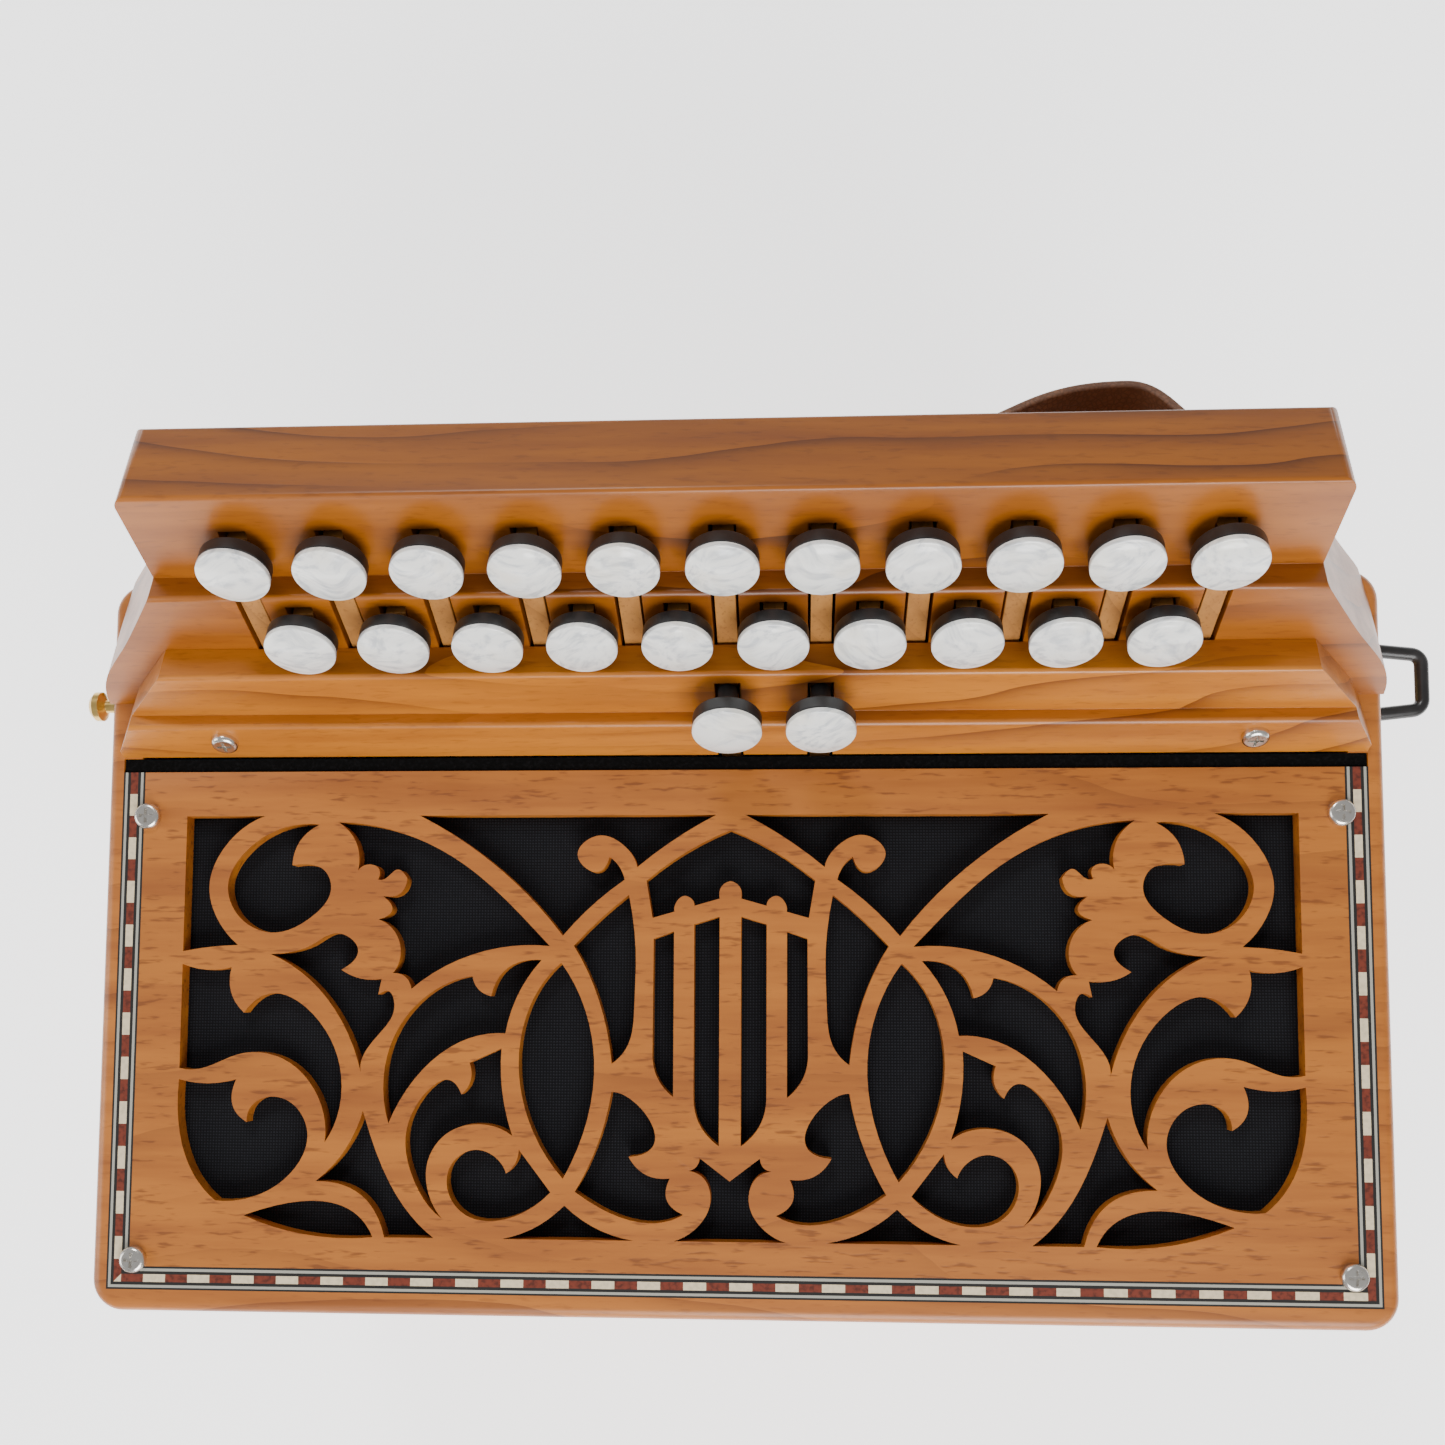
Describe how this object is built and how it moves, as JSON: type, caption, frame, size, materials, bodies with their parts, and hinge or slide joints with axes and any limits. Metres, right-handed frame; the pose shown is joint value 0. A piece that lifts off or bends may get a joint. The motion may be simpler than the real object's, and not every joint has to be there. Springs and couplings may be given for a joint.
{
  "type": "diatonic button accordion",
  "caption": "Wooden button accordion with stepped keyboard rows, fretwork grille, inlaid edge, folding bellows, bass buttons, hand strap and thumb strap.",
  "frame": {"origin": "the middle of the bass end's flat face, under its rosette, which is 8 mm above the floor when the instrument stands on its feet", "axes": "+Z along the bellows from the bass end to the treble end, -Y towards the grille's front edge, +Y towards the keyboard, +X to the right from the front"},
  "size_m": [0.3126, 0.2, 0.2481],
  "materials": {
    "case_wood": "satin varnish",
    "board_wood": "satin varnish",
    "grille_wood": "satin varnish",
    "lever_wood": "satin",
    "reed_wood": "bare",
    "pearl": "pearl gloss",
    "white_button": "gloss",
    "black_plastic": "gloss",
    "black_gauze": "woven",
    "black_felt": "felt",
    "inlay_cream": "satin varnish",
    "inlay_dark": "satin varnish",
    "inlay_black": "satin varnish",
    "brown_leather": "satin",
    "bellows_card": "pressed cloth on card",
    "nickel": "polished",
    "steel": "drawn",
    "brass": "worn",
    "black_steel": "black",
    "black_rubber": "matte",
    "reed_metal": "satin",
    "pallet_felt": "felt"
  },
  "bodies": {
    "bass_end": {"bass_case": "case_wood", "bass_bellows_frame": "case_wood", "bass_end_panel": "grille_wood", "bass_button_board": "board_wood", "bass_sound_board": "reed_wood", "bass_reed_blocks": "reed_wood", "bass_screws": "nickel", "bass_strap": "brown_leather", "bass_strap_brackets": "nickel", "feet": "black_rubber", "bellows": "bellows_card"},
    "treble_end": {"treble_case": "case_wood", "treble_bellows_frame": "case_wood", "pallet_board": "reed_wood", "treble_reed_blocks": "reed_wood", "grille_plate": "grille_wood", "grille_cloth": "black_gauze", "grille_inlay": "inlay_cream", "felt_strip": "black_felt", "keyboard_board": "board_wood", "keyboard_apron": "board_wood", "key_axles": "steel", "key_springs": "steel", "treble_screws": "nickel", "thumb_strap": "brown_leather", "strap_fittings": "brass"},
    "treble_key_01": {"treble_key_01": "lever_wood"},
    "treble_key_02": {"treble_key_02": "lever_wood"},
    "treble_key_03": {"treble_key_03": "lever_wood"},
    "treble_key_04": {"treble_key_04": "lever_wood"},
    "treble_key_05": {"treble_key_05": "lever_wood"},
    "treble_key_06": {"treble_key_06": "lever_wood"},
    "treble_key_07": {"treble_key_07": "lever_wood"},
    "treble_key_08": {"treble_key_08": "lever_wood"},
    "treble_key_09": {"treble_key_09": "lever_wood"},
    "treble_key_10": {"treble_key_10": "lever_wood"},
    "treble_key_11": {"treble_key_11": "lever_wood"},
    "treble_key_12": {"treble_key_12": "lever_wood"},
    "treble_key_13": {"treble_key_13": "lever_wood"},
    "treble_key_14": {"treble_key_14": "lever_wood"},
    "treble_key_15": {"treble_key_15": "lever_wood"},
    "treble_key_16": {"treble_key_16": "lever_wood"},
    "treble_key_17": {"treble_key_17": "lever_wood"},
    "treble_key_18": {"treble_key_18": "lever_wood"},
    "treble_key_19": {"treble_key_19": "lever_wood"},
    "treble_key_20": {"treble_key_20": "lever_wood"},
    "treble_key_21": {"treble_key_21": "lever_wood"},
    "treble_key_22": {"treble_key_22": "lever_wood"},
    "treble_key_23": {"treble_key_23": "lever_wood"},
    "bass_button_1": {"bass_button_1": "white_button"},
    "bass_button_2": {"bass_button_2": "white_button"},
    "bass_button_3": {"bass_button_3": "white_button"},
    "bass_button_4": {"bass_button_4": "white_button"},
    "bass_button_5": {"bass_button_5": "white_button"},
    "bass_button_6": {"bass_button_6": "white_button"},
    "bass_button_7": {"bass_button_7": "white_button"},
    "bass_button_8": {"bass_button_8": "white_button"},
    "air_button": {"air_button": "white_button"},
    "strap_ring_left": {"strap_ring_left": "black_steel"},
    "strap_ring_right": {"strap_ring_right": "black_steel"}
  },
  "joints": [
    {"name": "bellows_slide", "type": "slide", "parent": "bass_end", "child": "treble_end", "axis": [0, 0, 1], "range_m": [0, 0.28], "deforming": ["bellows"]},
    {"name": "key_01_press", "type": "hinge", "parent": "treble_end", "child": "treble_key_01", "pos_m": [-0.09885, 0.0572, 0.17401], "axis": [-1, 0, 0], "range_deg": [0, 2.6], "stiffness_Nm_per_rad": 0.5, "springref_deg": -5.73},
    {"name": "key_02_press", "type": "hinge", "parent": "treble_end", "child": "treble_key_02", "pos_m": [-0.07908, 0.0572, 0.17401], "axis": [-1, 0, 0], "range_deg": [0, 2.6], "stiffness_Nm_per_rad": 0.5, "springref_deg": -5.73},
    {"name": "key_03_press", "type": "hinge", "parent": "treble_end", "child": "treble_key_03", "pos_m": [-0.05931, 0.0572, 0.17401], "axis": [-1, 0, 0], "range_deg": [0, 2.6], "stiffness_Nm_per_rad": 0.5, "springref_deg": -5.73},
    {"name": "key_04_press", "type": "hinge", "parent": "treble_end", "child": "treble_key_04", "pos_m": [-0.03954, 0.0572, 0.17401], "axis": [-1, 0, 0], "range_deg": [0, 2.6], "stiffness_Nm_per_rad": 0.5, "springref_deg": -5.73},
    {"name": "key_05_press", "type": "hinge", "parent": "treble_end", "child": "treble_key_05", "pos_m": [-0.01977, 0.0572, 0.17401], "axis": [-1, 0, 0], "range_deg": [0, 2.6], "stiffness_Nm_per_rad": 0.5, "springref_deg": -5.73},
    {"name": "key_06_press", "type": "hinge", "parent": "treble_end", "child": "treble_key_06", "pos_m": [0, 0.0572, 0.17401], "axis": [-1, 0, 0], "range_deg": [0, 2.6], "stiffness_Nm_per_rad": 0.5, "springref_deg": -5.73},
    {"name": "key_07_press", "type": "hinge", "parent": "treble_end", "child": "treble_key_07", "pos_m": [0.01977, 0.0572, 0.17401], "axis": [-1, 0, 0], "range_deg": [0, 2.6], "stiffness_Nm_per_rad": 0.5, "springref_deg": -5.73},
    {"name": "key_08_press", "type": "hinge", "parent": "treble_end", "child": "treble_key_08", "pos_m": [0.03954, 0.0572, 0.17401], "axis": [-1, 0, 0], "range_deg": [0, 2.6], "stiffness_Nm_per_rad": 0.5, "springref_deg": -5.73},
    {"name": "key_09_press", "type": "hinge", "parent": "treble_end", "child": "treble_key_09", "pos_m": [0.05931, 0.0572, 0.17401], "axis": [-1, 0, 0], "range_deg": [0, 2.6], "stiffness_Nm_per_rad": 0.5, "springref_deg": -5.73},
    {"name": "key_10_press", "type": "hinge", "parent": "treble_end", "child": "treble_key_10", "pos_m": [0.07908, 0.0572, 0.17401], "axis": [-1, 0, 0], "range_deg": [0, 2.6], "stiffness_Nm_per_rad": 0.5, "springref_deg": -5.73},
    {"name": "key_11_press", "type": "hinge", "parent": "treble_end", "child": "treble_key_11", "pos_m": [0.09885, 0.0572, 0.17401], "axis": [-1, 0, 0], "range_deg": [0, 2.6], "stiffness_Nm_per_rad": 0.5, "springref_deg": -5.73},
    {"name": "key_12_press", "type": "hinge", "parent": "treble_end", "child": "treble_key_12", "pos_m": [-0.08897, 0.0572, 0.17401], "axis": [-1, 0, 0], "range_deg": [0, 3.5], "stiffness_Nm_per_rad": 0.5, "springref_deg": -5.73},
    {"name": "key_13_press", "type": "hinge", "parent": "treble_end", "child": "treble_key_13", "pos_m": [-0.0692, 0.0572, 0.17401], "axis": [-1, 0, 0], "range_deg": [0, 3.5], "stiffness_Nm_per_rad": 0.5, "springref_deg": -5.73},
    {"name": "key_14_press", "type": "hinge", "parent": "treble_end", "child": "treble_key_14", "pos_m": [-0.04942, 0.0572, 0.17401], "axis": [-1, 0, 0], "range_deg": [0, 3.5], "stiffness_Nm_per_rad": 0.5, "springref_deg": -5.73},
    {"name": "key_15_press", "type": "hinge", "parent": "treble_end", "child": "treble_key_15", "pos_m": [-0.02966, 0.0572, 0.17401], "axis": [-1, 0, 0], "range_deg": [0, 3.5], "stiffness_Nm_per_rad": 0.5, "springref_deg": -5.73},
    {"name": "key_16_press", "type": "hinge", "parent": "treble_end", "child": "treble_key_16", "pos_m": [-0.00988, 0.0572, 0.17401], "axis": [-1, 0, 0], "range_deg": [0, 3.5], "stiffness_Nm_per_rad": 0.5, "springref_deg": -5.73},
    {"name": "key_17_press", "type": "hinge", "parent": "treble_end", "child": "treble_key_17", "pos_m": [0.00988, 0.0572, 0.17401], "axis": [-1, 0, 0], "range_deg": [0, 3.5], "stiffness_Nm_per_rad": 0.5, "springref_deg": -5.73},
    {"name": "key_18_press", "type": "hinge", "parent": "treble_end", "child": "treble_key_18", "pos_m": [0.02966, 0.0572, 0.17401], "axis": [-1, 0, 0], "range_deg": [0, 3.5], "stiffness_Nm_per_rad": 0.5, "springref_deg": -5.73},
    {"name": "key_19_press", "type": "hinge", "parent": "treble_end", "child": "treble_key_19", "pos_m": [0.04942, 0.0572, 0.17401], "axis": [-1, 0, 0], "range_deg": [0, 3.5], "stiffness_Nm_per_rad": 0.5, "springref_deg": -5.73},
    {"name": "key_20_press", "type": "hinge", "parent": "treble_end", "child": "treble_key_20", "pos_m": [0.0692, 0.0572, 0.17401], "axis": [-1, 0, 0], "range_deg": [0, 3.5], "stiffness_Nm_per_rad": 0.5, "springref_deg": -5.73},
    {"name": "key_21_press", "type": "hinge", "parent": "treble_end", "child": "treble_key_21", "pos_m": [0.08897, 0.0572, 0.17401], "axis": [-1, 0, 0], "range_deg": [0, 3.5], "stiffness_Nm_per_rad": 0.5, "springref_deg": -5.73},
    {"name": "key_22_press", "type": "hinge", "parent": "treble_end", "child": "treble_key_22", "pos_m": [0, 0.046, 0.182], "axis": [-1, 0, 0], "range_deg": [0, 6.6], "stiffness_Nm_per_rad": 0.5, "springref_deg": -5.73},
    {"name": "key_23_press", "type": "hinge", "parent": "treble_end", "child": "treble_key_23", "pos_m": [0.01977, 0.046, 0.182], "axis": [-1, 0, 0], "range_deg": [0, 6.6], "stiffness_Nm_per_rad": 0.5, "springref_deg": -5.73},
    {"name": "bass_button_1_press", "type": "slide", "parent": "bass_end", "child": "bass_button_1", "axis": [0, -0.7071, 0.7071], "range_m": [0, 0.003], "stiffness_N_per_m": 400, "springref_m": -0.003},
    {"name": "bass_button_2_press", "type": "slide", "parent": "bass_end", "child": "bass_button_2", "axis": [0, -0.7071, 0.7071], "range_m": [0, 0.003], "stiffness_N_per_m": 400, "springref_m": -0.003},
    {"name": "bass_button_3_press", "type": "slide", "parent": "bass_end", "child": "bass_button_3", "axis": [0, -0.7071, 0.7071], "range_m": [0, 0.003], "stiffness_N_per_m": 400, "springref_m": -0.003},
    {"name": "bass_button_4_press", "type": "slide", "parent": "bass_end", "child": "bass_button_4", "axis": [0, -0.7071, 0.7071], "range_m": [0, 0.003], "stiffness_N_per_m": 400, "springref_m": -0.003},
    {"name": "bass_button_5_press", "type": "slide", "parent": "bass_end", "child": "bass_button_5", "axis": [0, -0.7071, 0.7071], "range_m": [0, 0.003], "stiffness_N_per_m": 400, "springref_m": -0.003},
    {"name": "bass_button_6_press", "type": "slide", "parent": "bass_end", "child": "bass_button_6", "axis": [0, -0.7071, 0.7071], "range_m": [0, 0.003], "stiffness_N_per_m": 400, "springref_m": -0.003},
    {"name": "bass_button_7_press", "type": "slide", "parent": "bass_end", "child": "bass_button_7", "axis": [0, -0.7071, 0.7071], "range_m": [0, 0.003], "stiffness_N_per_m": 400, "springref_m": -0.003},
    {"name": "bass_button_8_press", "type": "slide", "parent": "bass_end", "child": "bass_button_8", "axis": [0, -0.7071, 0.7071], "range_m": [0, 0.003], "stiffness_N_per_m": 400, "springref_m": -0.003},
    {"name": "air_button_press", "type": "slide", "parent": "bass_end", "child": "air_button", "axis": [0, -1, 0], "range_m": [0, 0.005], "stiffness_N_per_m": 300, "springref_m": -0.005},
    {"name": "strap_ring_left_swing", "type": "hinge", "parent": "treble_end", "child": "strap_ring_left", "pos_m": [-0.1457, 0.069, 0.168], "axis": [0, -1, 0], "range_deg": [-176, 0]},
    {"name": "strap_ring_right_swing", "type": "hinge", "parent": "treble_end", "child": "strap_ring_right", "pos_m": [0.1457, 0.0615, 0.168], "axis": [0, 1, 0], "range_deg": [-88, 88]}
  ]
}
